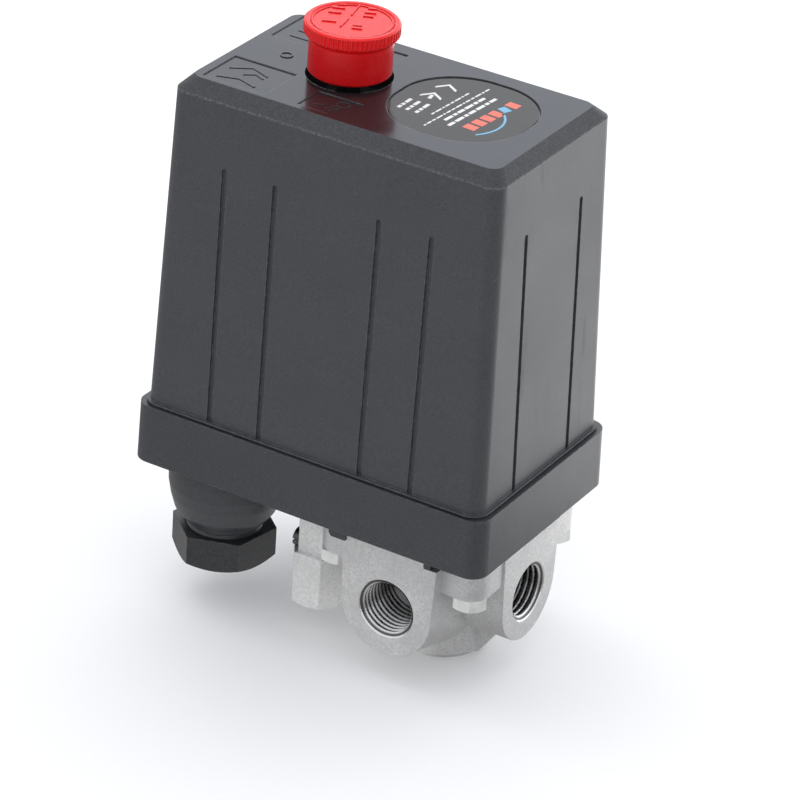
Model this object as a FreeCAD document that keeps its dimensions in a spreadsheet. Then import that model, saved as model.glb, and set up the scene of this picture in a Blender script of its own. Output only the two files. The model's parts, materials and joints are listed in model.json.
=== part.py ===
"""Compressor pressure switch with a four-way manifold, as an assembly of separate pieces.

Frame: millimetres, +Z up. The origin is the centre of the inlet port's mouth, under the manifold, and the
port's axis is the Z axis. -Y is the front (the front port's side) and +X is the right port's side.
Most pieces are described in the housing's frame, whose origin is the centre of the rim's lower edge.
"""
import FreeCAD, Part
import math
import os
import re

import Sketcher
from FreeCAD import Placement, Rotation, Vector

DIMENSIONS = {
    # where the housing stands on the manifold
    "base_level": 34.2, "port_offset": 20.6,
    # base housing
    "rim_length": 87.0, "rim_width": 54.5, "rim_height": 13.4, "rim_radius": 4.0, "rim_draft": 1.5,
    "floor": 3.0, "seat_level": 9.4, "seat_length": 81.0, "seat_width": 49.2,
    # cover
    "cover_length": 83.0, "cover_width": 51.2, "cover_bottom": 13.7, "cover_radius": 3.4, "cover_wall": 2.0,
    "shoulder_length": 78.2, "shoulder_width": 47.0, "shoulder_height": 86.9,
    "top_length": 73.2, "top_width": 40.6, "top_height": 89.6, "top_radius": 2.6,
    "lip_length": 84.4, "lip_width": 52.6, "lip_height": 0.45,
    "groove_width": 1.3, "groove_depth": 0.6, "groove_top": 72.9,
    "groove_inner": 12.5, "groove_outer": 24.9, "groove_side": 11.3,
    "label_x": 16.3, "label_y": 0.9, "label_size": 29.6, "label_corner": 13.2, "label_recess": 0.5,
    "window_depth": 0.22,
    "post_x": -26.3, "post_radius": 4.0,
    # knob and its well
    "knob_x": -11.0, "knob_y": 0.5, "knob_bottom": 90.4, "knob_top": 101.8, "knob_skirt": 8.87,
    "knob_rim": 10.1, "band": 2.6, "flutes": 64, "well_radius": 9.25, "well_depth": 6.5, "stem_radius": 2.5,
    # manifold and its four G1/4 ports
    "flange_length": 40.4, "flange_width": 43.0, "flange_corner": 4.6, "flange_bottom": 24.8,
    "flange_top": 31.2, "hub_radius": 11.0, "port_level": 18.2, "back_port_rise": 0.6,
    "boss_reach": 24.5, "boss_radius": 11.0, "side_reach": 20.7, "side_radius": 11.0,
    "thread_minor": 5.72, "thread_major": 6.5,
    "thread_pitch": 1.337, "thread_turns": 8, "thread_land": 0.3, "mouth_radius": 6.8, "mouth_chamfer": 0.3,
    "drill_radius": 4.3,
    "bolt_x": 16.3, "bolt_y": 17.9, "bolt_flats": 7.0, "bolt_head": 2.8, "bolt_radius": 1.95,
    "chamber_radius": 12.0, "diaphragm_radius": 15.4,
    # cable gland
    "gland_x": -27.5, "gland_y": 13.3, "gland_bore": 6.9, "gland_thread": 8.6, "gland_flats": 20.2,
    "gland_turn": 19, "gland_nut_top": -16.5, "gland_nut_bottom": -24.1, "cable_radius": 4.5,
    # unloader valve
    "unloader_x": -2.7, "unloader_y": -13.0, "unloader_seat": -14.3, "unloader_end": -27.0,
    "unloader_screw_z": -12.2, "tube_flats": 11.8, "tube_radius": 3.1,
    # mechanism
    "lever_x": 2.0, "lever_z": 16.0, "carrier_x": -19.0, "carrier_z": 33.0, "pin_radius": 1.5,
    "running": 0.06, "range_x": 31.0, "differential_x": 12.0, "block_top": 26.0,
}

document = FreeCAD.newDocument("pressure_switch")
sheet = document.addObject("Spreadsheet::Sheet", "dims")
for row, (alias, size) in enumerate(DIMENSIONS.items(), start=1):
    sheet.set(f"A{row}", alias)
    sheet.set(f"B{row}", str(size))
    sheet.setAlias(f"B{row}", alias)
document.recompute()

NODES = []


# ---------------------------------------------------------------- formulas and placing
def bound(formula):
    """The formula with every dimension's name pointing into the sheet."""
    def cell(match):
        word = match.group()
        return "dims." + word if word in DIMENSIONS else word
    return re.sub(r"[a-z_]+", cell, str(formula))


def number(formula):
    """The formula's value now, in millimetres or degrees."""
    value = sheet.evalExpression(bound(formula))
    return float(getattr(value, "Value", value))


def bind(feature, **sizes):
    for name, formula in sizes.items():
        feature.setExpression(name, bound(formula))
    return feature


def in_housing(x, y, z):
    """A point given in the housing's frame, as formulas in the object's frame."""
    return f"({x}) - port_offset", f"{y}", f"({z}) + base_level"


def put(feature, point, rotation=None):
    if rotation is not None:
        feature.Placement = Placement(Vector(), rotation)
    for axis, formula in zip("xyz", point):
        feature.setExpression(f".Placement.Base.{axis}", bound(formula))
    return feature


def node(feature, label):
    feature.Label = label
    NODES.append(feature)
    return feature


ALONG_X = Rotation(Vector(0, 1, 0), 90)
ALONG_Y = Rotation(Vector(1, 0, 0), -90)


# ---------------------------------------------------------------- primitives, placed in the housing's frame
def cylinder(name, radius, start, length, rotation=None):
    part = bind(document.addObject("Part::Cylinder", name), Radius=radius, Height=length)
    return put(part, in_housing(*start), rotation)


def cone(name, low_radius, high_radius, start, length):
    part = document.addObject("Part::Cone", name)
    bind(part, Radius1=low_radius, Radius2=high_radius, Height=length)
    return put(part, in_housing(*start))


def box(name, x_range, y_range, z_range):
    part = document.addObject("Part::Box", name)
    spans = [f"({high}) - ({low})" for low, high in (x_range, y_range, z_range)]
    bind(part, Length=spans[0], Width=spans[1], Height=spans[2])
    return put(part, in_housing(x_range[0], y_range[0], z_range[0]))


def prism(name, flats, start, length, turn=0):
    part = document.addObject("Part::Prism", name)
    part.Polygon = 6
    bind(part, Circumradius=f"({flats}) / sqrt(3)", Height=length)
    return put(part, in_housing(*start), Rotation(Vector(0, 0, 1), turn))


def fuse(name, *parts):
    joined = document.addObject("Part::MultiFuse", name)
    joined.Shapes = list(parts)
    joined.Refine = True
    return joined


def cut(name, base, *tools):
    """The base with each tool taken away."""
    removed = document.addObject("Part::Cut", name)
    removed.Base = base
    removed.Tool = tools[0] if len(tools) == 1 else fuse(name + "_tools", *tools)
    removed.Refine = True
    return removed


def overlap(name, first, second):
    common = document.addObject("Part::Common", name)
    common.Base = first
    common.Tool = second
    return common


def group(name, parts):
    """Separate solids that share one node."""
    together = document.addObject("Part::Compound", name)
    together.Links = list(parts)
    return together


def ring(name, outer, inner, start, length):
    x, y, z = start
    bore_start = (x, y, f"({z}) - 1")
    return cut(name, cylinder(name + "_disc", outer, start, length),
               cylinder(name + "_hole", inner, bore_start, f"({length}) + 2"))


def hexagon(name, flats, start, length, chamfer_below, turn=0):
    """A hexagon whose corners are chamfered at 30 degrees, on its lower or its upper face.

    With no turn, a flat faces the front; a turn is in degrees, anticlockwise from above."""
    x, y, z = start
    wide = f"({flats}) / 2 + ({length}) * 1.732"
    narrow = f"({flats}) * 0.49"
    low, high = (narrow, wide) if chamfer_below else (wide, narrow)
    return overlap(name, prism(name + "_prism", flats, start, length, turn),
                   cone(name + "_chamfer", low, high, start, length))


def spring(name, coil_radius, wire_radius, start, length, turns, rotation=None):
    """A coil spring of round wire whose wire fills the given length from end to end."""
    helix = document.addObject("Part::Helix", name + "_helix")
    rise = f"({length}) - 2 * ({wire_radius})"
    bind(helix, Radius=coil_radius, Height=rise, Pitch=f"({rise}) / {turns}")
    wire = document.addObject("Part::Circle", name + "_wire")
    bind(wire, Radius=wire_radius)
    wire.Placement = Placement(Vector(), Rotation(Vector(1, 0, 0), 90))
    wire.setExpression(".Placement.Base.x", bound(coil_radius))
    coil = document.addObject("Part::Sweep", name)
    coil.Sections = [wire]
    coil.Spine = (helix, [])
    coil.Solid = True
    coil.Frenet = True
    x, y, z = start
    shifted = (f"({x}) + ({wire_radius})", y, z) if rotation else (x, y, f"({z}) + ({wire_radius})")
    return put(coil, in_housing(*shifted), rotation)


# ---------------------------------------------------------------- sketched bodies
def body(label, point=("0", "0", "0")):
    made = document.addObject("PartDesign::Body", label + "_body")
    return node(put(made, point), label)


HOUSING = in_housing("0", "0", "0")


def sketch(owner, name, plane="XY_Plane", offset="0", rise="0", lean="0"):
    """A sketch on one of the body's planes, moved along its normal and up, leaning about its own X."""
    drawn = owner.newObject("Sketcher::SketchObject", name)
    origin_plane = next(item for item in owner.Origin.OriginFeatures if item.Role == plane)
    drawn.AttachmentSupport = [(origin_plane, "")]
    drawn.MapMode = "FlatFace"
    drawn.AttachmentOffset = Placement(Vector(), Rotation(Vector(1, 0, 0), number(lean)))
    drawn.setExpression(".AttachmentOffset.Base.y", bound(rise))
    drawn.setExpression(".AttachmentOffset.Base.z", bound(offset))
    return drawn


def pin_point(drawn, geometry, end, x, y):
    """Hold one end of a line, or a circle's centre, at a place given by two formulas."""
    for kind, formula, axis in (("DistanceX", x, -2), ("DistanceY", y, -1)):
        if abs(number(formula)) < 1e-9:
            drawn.addConstraint(Sketcher.Constraint("PointOnObject", geometry, end, axis))
            continue
        place = drawn.addConstraint(Sketcher.Constraint(kind, -1, 1, geometry, end, number(formula)))
        drawn.setExpression(f"Constraints[{place}]", bound(formula))


def outline(drawn, points):
    """A closed outline of straight lines through the points."""
    vectors = [Vector(number(x), number(y), 0) for x, y in points]
    first = drawn.GeometryCount
    count = len(points)
    for index in range(count):
        drawn.addGeometry(Part.LineSegment(vectors[index], vectors[(index + 1) % count]), False)
    for index in range(count):
        following = first + (index + 1) % count
        drawn.addConstraint(Sketcher.Constraint("Coincident", first + index, 2, following, 1))
    for index, (x, y) in enumerate(points):
        pin_point(drawn, first + index, 1, x, y)
    return drawn


def rectangle(drawn, x_range, y_range):
    (x_low, x_high), (y_low, y_high) = x_range, y_range
    return outline(drawn, [(x_low, y_low), (x_high, y_low), (x_high, y_high), (x_low, y_high)])


def circle(drawn, x, y, radius):
    shape = drawn.addGeometry(Part.Circle(Vector(number(x), number(y), 0), Vector(0, 0, 1), number(radius)))
    pin_point(drawn, shape, 3, x, y)
    size = drawn.addConstraint(Sketcher.Constraint("Radius", shape, number(radius)))
    drawn.setExpression(f"Constraints[{size}]", bound(radius))
    return drawn


def rounded_rectangle(drawn, length, width, radius, centre=("0", "0")):
    """A rectangle with round corners, the corner arcs held by their centres."""
    half_x, half_y, r = number(length) / 2, number(width) / 2, number(radius)
    middle = Vector(number(centre[0]), number(centre[1]), 0)
    corners = ((1, 1), (-1, 1), (-1, -1), (1, -1))
    arcs = []
    for turn, (sx, sy) in enumerate(corners):
        start = math.radians(90 * turn)
        full = Part.Circle(middle + Vector(sx * (half_x - r), sy * (half_y - r), 0), Vector(0, 0, 1), r)
        arcs.append(drawn.addGeometry(Part.ArcOfCircle(full, start, start + math.pi / 2)))
    for turn, arc in enumerate(arcs):
        following = arcs[(turn + 1) % 4]
        line = drawn.addGeometry(Part.LineSegment(drawn.getPoint(arc, 2), drawn.getPoint(following, 1)))
        drawn.addConstraint(Sketcher.Constraint("Tangent", arc, 2, line, 1))
        drawn.addConstraint(Sketcher.Constraint("Tangent", line, 2, following, 1))
    for arc, (sx, sy) in zip(arcs, corners):
        pin_point(drawn, arc, 3, f"{centre[0]} + {sx} * (({length}) / 2 - ({radius}))",
                  f"{centre[1]} + {sy} * (({width}) / 2 - ({radius}))")
    size = drawn.addConstraint(Sketcher.Constraint("Radius", arcs[0], r))
    drawn.setExpression(f"Constraints[{size}]", bound(radius))
    return drawn


def pad(owner, drawn, length, **options):
    made = owner.newObject("PartDesign::Pad", drawn.Name + "_pad")
    made.Profile = drawn
    bind(made, Length=length)
    for name, setting in options.items():
        setattr(made, name, setting)
    return made


def pocket(owner, drawn, length, **options):
    made = owner.newObject("PartDesign::Pocket", drawn.Name + "_pocket")
    made.Profile = drawn
    bind(made, Length=length)
    for name, setting in options.items():
        setattr(made, name, setting)
    return made


def loft(owner, name, kind, sections):
    made = owner.newObject(f"PartDesign::{kind}Loft", name)
    made.Profile = sections[0]
    made.Sections = sections[1:]
    made.Ruled = True
    return made


def turned(owner, name, points, kind="Revolution", plane="XZ_Plane", offset="0", centre="0", flat=False):
    """A profile of (radius, place along the axis) points, turned about an upright or a flat axis.

    An upright axis stands at sketch x = centre; a flat axis runs along the sketch's x at y = centre."""
    drawn = sketch(owner, name, plane, offset)
    if flat:
        outline(drawn, [(along, f"({centre}) + ({radius})") for radius, along in points])
        ends = [Vector(0, number(centre), 0), Vector(10, number(centre), 0)]
    else:
        outline(drawn, [(f"({centre}) + ({radius})", along) for radius, along in points])
        ends = [Vector(number(centre), 0, 0), Vector(number(centre), 10, 0)]
    axis = drawn.addGeometry(Part.LineSegment(*ends), True)
    drawn.addConstraint(Sketcher.Constraint("Horizontal" if flat else "Vertical", axis))
    pin_point(drawn, axis, 1, *(("0", centre) if flat else (centre, "0")))
    made = owner.newObject(f"PartDesign::{kind}", name + "_turned")
    made.Profile = drawn
    made.ReferenceAxis = (drawn, ["Axis0"])
    made.Angle = 360
    return made


# ---------------------------------------------------------------- housing
def base_housing():
    """The black base: a deep rim round a floor, with a gland socket, a blank one and two tabs below."""
    base = body("base_housing", HOUSING)
    rim = sketch(base, "rim")
    rounded_rectangle(rim, "rim_length", "rim_width", "rim_radius")
    block = pad(base, rim, "rim_height")
    block.setExpression("TaperAngle", bound("-1 * rim_draft"))
    seat = sketch(base, "cover_seat", offset="seat_level")
    rounded_rectangle(seat, "seat_length", "seat_width", "rim_radius - 1")
    pocket(base, seat, "rim_height", Reversed=True)
    well = sketch(base, "inside", offset="floor")
    rounded_rectangle(well, "seat_length - 2", "seat_width - 3", "rim_radius - 2")
    pocket(base, well, "rim_height", Reversed=True)
    bulge = [("gland_thread + 3.7", "0.5"), ("gland_thread + 4", "-3"), ("gland_thread + 4", "-6"),
             ("gland_thread + 3.5", "-9"), ("gland_thread + 2.6", "-12.2")]
    neck = [("gland_thread + 1.2", "-14.1"), ("gland_thread - 0.5", "-14.4")]
    for turn in range(3):
        level = -14.8 - 1.9 * turn
        neck += [("gland_thread", level), ("gland_thread", level - 0.7),
                 ("gland_thread - 0.6", level - 1.2)]
    neck += [("gland_thread - 0.6", "-21.4"), ("gland_bore", "-21.4")]
    gland_socket = [("gland_bore", "0.5"), *bulge, *neck]
    blank_socket = [("0", "0.5"), *bulge, ("0", "-12.2")]
    turned(base, "gland_socket", gland_socket, offset="gland_y", centre="gland_x")
    turned(base, "blank_socket", blank_socket, offset="-gland_y", centre="gland_x")
    tabs = sketch(base, "tabs", offset="flange_top - base_level")
    outline(tabs, [("4.9", "-21.6"), ("4.9", "-23.6"), ("6.3", "-25"), ("9.8", "-25"), ("9.8", "-21.6")])
    rectangle(tabs, ("29", "30.5"), ("-24.6", "-21.6"))
    pad(base, tabs, "base_level - flange_top + 0.5")
    openings = sketch(base, "floor_openings", offset="-1")
    circle(openings, "gland_x", "-gland_y", "gland_bore")
    for side in ("-1", "1"):
        for end in ("-1", "1"):
            circle(openings, f"port_offset + {end} * bolt_x", f"{side} * bolt_y", "bolt_radius + 0.25")
    circle(openings, "port_offset", "0", "5.5")
    circle(openings, "post_x", "0", "1.6")
    circle(openings, "range_x", "0", "4.3")
    rectangle(openings, ("unloader_x - 3.1", "unloader_x + 3.1"),
              ("unloader_y - 5.1", "unloader_y + 3.7"))
    pocket(base, openings, "floor + 2", Reversed=True)
    screw_way = sketch(base, "screw_way")
    circle(screw_way, "post_x", "0", "3.2")
    pocket(base, screw_way, "15")
    return base


def cover():
    """The tapered cover: a bevelled top, the knob's well, the label's recess, windows and grooves."""
    shell = body("cover", HOUSING)

    def section(name, length, width, height, radius, inset="0"):
        drawn = sketch(shell, name, offset=height)
        return rounded_rectangle(drawn, f"{length} - 2 * ({inset})", f"{width} - 2 * ({inset})",
                                 f"{radius} - ({inset}) * 0.6")

    outside = [section("outer_foot", "cover_length", "cover_width", "cover_bottom", "cover_radius"),
               section("outer_shoulder", "shoulder_length", "shoulder_width", "shoulder_height",
                       "cover_radius"),
               section("outer_top", "top_length", "top_width", "top_height", "top_radius")]
    loft(shell, "outside", "Additive", outside)
    lip = sketch(shell, "lip", offset="cover_bottom")
    rounded_rectangle(lip, "lip_length", "lip_width", "cover_radius + 0.6")
    pad(shell, lip, "lip_height")
    spigot = sketch(shell, "spigot", offset="seat_level")
    rounded_rectangle(spigot, "seat_length - 0.4", "seat_width - 0.4", "rim_radius - 1")
    pad(shell, spigot, "cover_bottom - seat_level")
    inside = [section("inner_foot", "cover_length", "cover_width", "seat_level - 0.01", "cover_radius",
                      "cover_wall"),
              section("inner_shoulder", "shoulder_length", "shoulder_width", "shoulder_height - cover_wall",
                      "cover_radius", "cover_wall"),
              section("inner_top", "top_length", "top_width", "top_height - cover_wall", "top_radius",
                      "cover_wall")]
    loft(shell, "inside", "Subtractive", inside)
    top_ring = [("stem_radius + 2", "top_height - 0.5"), ("well_radius + 1.5", "top_height - 0.5"),
                ("well_radius + 1.5", "top_height - well_depth - 1.5"),
                ("stem_radius + 2", "top_height - well_depth - 1.5"),
                ("stem_radius + 2", "top_height - well_depth - 12"), ("0", "top_height - well_depth - 12"),
                ("0", "top_height - 0.5")]
    turned(shell, "well_cup", top_ring, offset="-1 * knob_y", centre="knob_x")
    well = [("0", "top_height + 1"), ("well_radius", "top_height + 1"),
            ("well_radius", "top_height - well_depth"),
            ("stem_radius + running", "top_height - well_depth"),
            ("stem_radius + running", "top_height - well_depth - 13"),
            ("0", "top_height - well_depth - 13")]
    turned(shell, "well", well, kind="Groove", offset="-1 * knob_y", centre="knob_x")
    post = sketch(shell, "post", offset="floor + 0.02")
    circle(post, "post_x", "0", "post_radius")
    circle(post, "post_x", "0", "1.45")
    pad(shell, post, "top_height - floor - 1")
    recess = sketch(shell, "label_recess", offset="top_height")
    rounded_rectangle(recess, "label_size + 0.8", "label_size + 0.8", "label_corner + 0.4",
                      ("label_x", "label_y"))
    pocket(shell, recess, "label_recess")
    windows = sketch(shell, "windows", offset="top_height")
    rectangle(windows, ("-34.5", "-19.3"), ("-19", "-6.6"))
    rectangle(windows, ("-34.5", "-21.5"), ("6.9", "19.6"))
    rectangle(windows, ("-11.6", "-0.6"), ("-18.6", "-10.4"))
    rectangle(windows, ("-18", "-6.3"), ("11.2", "16.4"))
    pocket(shell, windows, "window_depth")
    grooves(shell)
    return shell


def grooves(shell):
    """Round-topped grooves up the four walls, cut square to each sloping wall."""
    run = "(shoulder_height - cover_bottom)"
    lean = f"atan((cover_width - shoulder_width) / 2 / {run})"
    side_lean = f"atan((cover_length - shoulder_length) / 2 / {run})"
    long_wall = ("-groove_outer", "-groove_inner", "groove_inner", "groove_outer")
    short_wall = ("-groove_side", "groove_side")
    walls = (("front", "XZ_Plane", "cover_width / 2", f"-1 * {lean}", long_wall),
             ("back", "XZ_Plane", "-cover_width / 2", lean, long_wall),
             ("right", "YZ_Plane", "cover_length / 2", f"-1 * {side_lean}", short_wall),
             ("left", "YZ_Plane", "-cover_length / 2", side_lean, short_wall))
    for name, plane, wall, angle, places in walls:
        drawn = sketch(shell, f"{name}_grooves", plane, wall, "cover_bottom", angle)
        for place in places:
            slot(drawn, place, "lip_height", "groove_top - cover_bottom", "groove_width")
        pocket(shell, drawn, "groove_depth", Reversed=name in ("back", "left"))


def slot(drawn, x, low, top, width):
    """An upright slot with a round top, at x, from low to top."""
    middle, half = number(x), number(width) / 2
    spring_line = number(top) - half
    left_foot, right_foot = Vector(middle - half, number(low), 0), Vector(middle + half, number(low), 0)
    left_top, right_top = Vector(middle - half, spring_line, 0), Vector(middle + half, spring_line, 0)
    foot = drawn.addGeometry(Part.LineSegment(left_foot, right_foot))
    right = drawn.addGeometry(Part.LineSegment(right_foot, right_top))
    full = Part.Circle(Vector(middle, spring_line, 0), Vector(0, 0, 1), half)
    arch = drawn.addGeometry(Part.ArcOfCircle(full, 0, math.pi))
    left = drawn.addGeometry(Part.LineSegment(left_top, left_foot))
    drawn.addConstraint(Sketcher.Constraint("Coincident", foot, 2, right, 1))
    drawn.addConstraint(Sketcher.Constraint("Tangent", right, 2, arch, 1))
    drawn.addConstraint(Sketcher.Constraint("Tangent", arch, 2, left, 1))
    drawn.addConstraint(Sketcher.Constraint("Coincident", left, 2, foot, 1))
    drawn.addConstraint(Sketcher.Constraint("Vertical", right))
    pin_point(drawn, foot, 1, f"({x}) - ({width}) / 2", low)
    pin_point(drawn, foot, 2, f"({x}) + ({width}) / 2", low)
    pin_point(drawn, arch, 3, x, f"({top}) - ({width}) / 2")


def cover_label():
    label = body("cover_label", in_housing("label_x", "label_y", "top_height - label_recess"))
    drawn = sketch(label, "label_outline")
    rounded_rectangle(drawn, "label_size", "label_size", "label_corner")
    pad(label, drawn, "label_recess / 2")
    return label


def cover_screw():
    shank = cylinder("cover_screw_shank", "1.4", ("post_x", "0", "-0.1"), "15")
    head = cylinder("cover_screw_head", "2.9", ("post_x", "0", "-2.1"), "2.08")
    slot_cut = box("cover_screw_slot", ("post_x - 3", "post_x + 3"), ("-0.4", "0.4"), ("-3", "-1.2"))
    return node(cut("cover_screw_cut", fuse("cover_screw_blank", shank, head), slot_cut), "cover_screw")


# ---------------------------------------------------------------- knob
def knob():
    """The red push-pull knob: a plain skirt under a fluted rim, and a dished top."""
    made = body("knob", in_housing("knob_x", "knob_y", "0"))
    profile = [("0", "knob_bottom + 1.2"), ("knob_skirt - 2", "knob_bottom + 1.2"),
               ("knob_skirt - 1.4", "knob_bottom"), ("knob_skirt - 0.5", "knob_bottom"),
               ("knob_skirt", "knob_bottom + 0.5"), ("knob_skirt", "knob_top - band - 1.2"),
               ("knob_rim", "knob_top - band + 0.2"), ("knob_rim", "knob_top - 0.4"),
               ("knob_rim - 0.4", "knob_top"), ("knob_rim - 1.1", "knob_top"),
               ("knob_rim - 1.5", "knob_top - 0.35"), ("0", "knob_top - 0.35")]
    turned(made, "knob_profile", profile)
    socket = [("0", "knob_bottom - 1"), ("stem_radius + 0.02", "knob_bottom - 1"),
              ("stem_radius + 0.02", "knob_top - 3"), ("0", "knob_top - 3")]
    turned(made, "knob_socket", socket, kind="Groove")
    flute = sketch(made, "flute", offset="knob_top - band - 1.5")
    circle(flute, "knob_rim + 0.08", "0", "0.42")
    first = pocket(made, flute, "band + 1.1", Reversed=True)
    around = made.newObject("PartDesign::PolarPattern", "flutes_around")
    around.Originals = [first]
    around.Axis = (flute, ["N_Axis"])
    around.Angle = 360
    bind(around, Occurrences="flutes")
    made.Tip = around
    return made


def knob_stem():
    rod = cylinder("stem_rod", "stem_radius", ("knob_x", "knob_y", "39"), "knob_top - 3.1 - 39")
    collar = cylinder("stem_collar", "4.6", ("knob_x", "knob_y", "58"), "2")
    foot = box("stem_foot", ("knob_x - 3", "-3"), ("-3", "4"), ("39", "42"))
    toe = box("stem_toe", ("-6.5", "-3.5"), ("-3", "4"), ("34.25", "40"))
    return node(fuse("stem", rod, collar, foot, toe), "knob_stem")


def stem_guide():
    legs = [box(f"guide_leg_{name}", ("-14", "-8.2"), span, ("block_top", "44"))
            for name, span in (("front", ("-16.5", "-15")), ("rear", ("15", "16.5")))]
    bridge = box("guide_bridge", ("-14", "-8.2"), ("-16.5", "16.5"), ("44", "45.5"))
    hole = cylinder("guide_hole", "stem_radius + running", ("knob_x", "knob_y", "43"), "4")
    return node(cut("guide", fuse("guide_blank", *legs, bridge), hole), "stem_guide")


# ---------------------------------------------------------------- manifold
def thread_profile(start, inward):
    """A port's profile from its mouth inwards: a chamfer, then thread grooves with short lands between."""
    sign = "-" if inward < 0 else "+"
    depth = "(mouth_chamfer + (thread_pitch - thread_land) / 2)"
    points = [("0", f"({start})"), ("mouth_radius", f"({start})"),
              ("thread_major", f"({start}) {sign} mouth_chamfer"),
              ("thread_minor", f"({start}) {sign} {depth}")]
    for turn in range(int(number("thread_turns"))):
        at = f"({start}) {sign} ({depth} + thread_land + {turn} * thread_pitch)"
        points += [("thread_minor", at),
                   ("thread_major", f"{at} {sign} (thread_pitch - thread_land) / 2"),
                   ("thread_minor", f"{at} {sign} (thread_pitch - thread_land)")]
    end = f"({start}) {sign} ({depth} + thread_land + thread_turns * thread_pitch)"
    return points + [("thread_minor", end), ("drill_radius", f"{end} {sign} 1"), ("0", f"{end} {sign} 1")]


def manifold():
    """The die-cast manifold: a bolted flange, an inlet hub below it and three side ports."""
    casting = body("manifold")
    flange = sketch(casting, "flange", offset="flange_bottom")
    rounded_rectangle(flange, "flange_length", "flange_width", "flange_corner")
    pad(casting, flange, "flange_top - flange_bottom")
    turned(casting, "hub", [("0", "0"), ("hub_radius - 1.2", "0"), ("hub_radius", "1.2"),
                            ("hub_radius", "port_level"), ("hub_radius + 2.5", "flange_bottom + 1"),
                            ("0", "flange_bottom + 1")])
    boss_shapes = (("front_boss", "XZ_Plane", "boss_radius", "boss_radius + 0.5"),
                   ("side_boss", "YZ_Plane", "side_radius", "side_radius + 0.6"))
    for name, plane, radius, top_half in boss_shapes:
        barrel = sketch(casting, f"{name}_barrel", plane)
        circle(barrel, "0", "port_level", radius)
        cheeks = sketch(casting, f"{name}_cheeks", plane)
        outline(cheeks, [(f"-({radius})", "port_level"), (radius, "port_level"), (top_half, "flange_top"),
                         (f"-({top_half})", "flange_top")])
        for drawn in (barrel, cheeks):
            if name == "front_boss":
                pad(casting, drawn, "2 * boss_reach", Midplane=True)
            else:
                pad(casting, drawn, "side_reach")
    web = sketch(casting, "side_web", "XZ_Plane")
    outline(web, [("hub_radius - 2", "0.8"), ("hub_radius", "0.8"),
                  ("side_reach - 5", "port_level - side_radius + 0.5"), ("hub_radius - 2", "port_level")])
    pad(casting, web, "5", Midplane=True)
    for name, side in (("front", "1"), ("back", "-1")):
        inner = sketch(casting, f"{name}_neck_foot", "XZ_Plane", f"{side} * 2")
        circle(inner, "0", "hub_radius", "hub_radius - 0.8")
        outer = sketch(casting, f"{name}_neck_end", "XZ_Plane", f"{side} * (boss_reach - 0.6)")
        circle(outer, "0", "port_level", "boss_radius - 0.05")
        loft(casting, f"{name}_neck", "Additive", [inner, outer])
    lip = sketch(casting, "boss_lip", offset="flange_top - 1")
    rectangle(lip, ("-10.7", "8.3"), ("-boss_reach", "-flange_width / 2 - 0.1"))
    rectangle(lip, ("-8.3", "10.7"), ("flange_width / 2 + 0.1", "boss_reach"))
    pad(casting, lip, "base_level - flange_top + 0.9")
    seat = [("0", "flange_top + 1"), ("diaphragm_radius + 0.1", "flange_top + 1"),
            ("diaphragm_radius + 0.1", "flange_top - 1"), ("chamber_radius", "flange_top - 1"),
            ("chamber_radius - 1", "flange_top - 3.5"), ("0", "flange_top - 3.5")]
    turned(casting, "diaphragm_seat", seat, kind="Groove")
    bolts = sketch(casting, "bolt_holes", offset="flange_bottom - 1")
    for x_side in ("-1", "1"):
        for y_side in ("-1", "1"):
            circle(bolts, f"{x_side} * bolt_x", f"{y_side} * bolt_y", "bolt_radius + 0.25")
    pocket(casting, bolts, "flange_top", Reversed=True)
    turned(casting, "inlet_port", thread_profile("0", 1), kind="Groove")
    drill = sketch(casting, "inlet_drill")
    circle(drill, "0", "0", "drill_radius")
    pocket(casting, drill, "flange_top", Reversed=True)
    turned(casting, "front_port", thread_profile("-boss_reach", 1), kind="Groove", plane="YZ_Plane",
           centre="port_level", flat=True)
    turned(casting, "back_port", thread_profile("boss_reach", -1), kind="Groove", plane="YZ_Plane",
           centre="port_level + back_port_rise", flat=True)
    turned(casting, "right_port", thread_profile("side_reach", -1), kind="Groove", plane="XZ_Plane",
           centre="port_level", flat=True)
    cross = sketch(casting, "cross_drill", "XZ_Plane")
    circle(cross, "0", "port_level", "drill_radius")
    pocket(casting, cross, "2 * boss_reach - 20", Midplane=True)
    side = sketch(casting, "side_drill", "YZ_Plane")
    circle(side, "0", "port_level", "drill_radius")
    pocket(casting, side, "side_reach - 8", Reversed=True)
    return casting


def flange_bolts():
    bolts = []
    for x_side in (-1, 1):
        for y_side in (-1, 1):
            name = f"bolt_{x_side + 1}_{y_side + 1}"
            x, y = f"port_offset + {x_side} * bolt_x", f"{y_side} * bolt_y"
            low = "flange_bottom - base_level"
            head = hexagon(name + "_head", "bolt_flats", (x, y, f"{low} - bolt_head"), "bolt_head", True)
            shank = cylinder(name + "_shank", "bolt_radius", (x, y, low), f"7 - ({low})")
            bolts.append(fuse(name, head, shank))
    return node(group("bolts", bolts), "flange_bolts")


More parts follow.
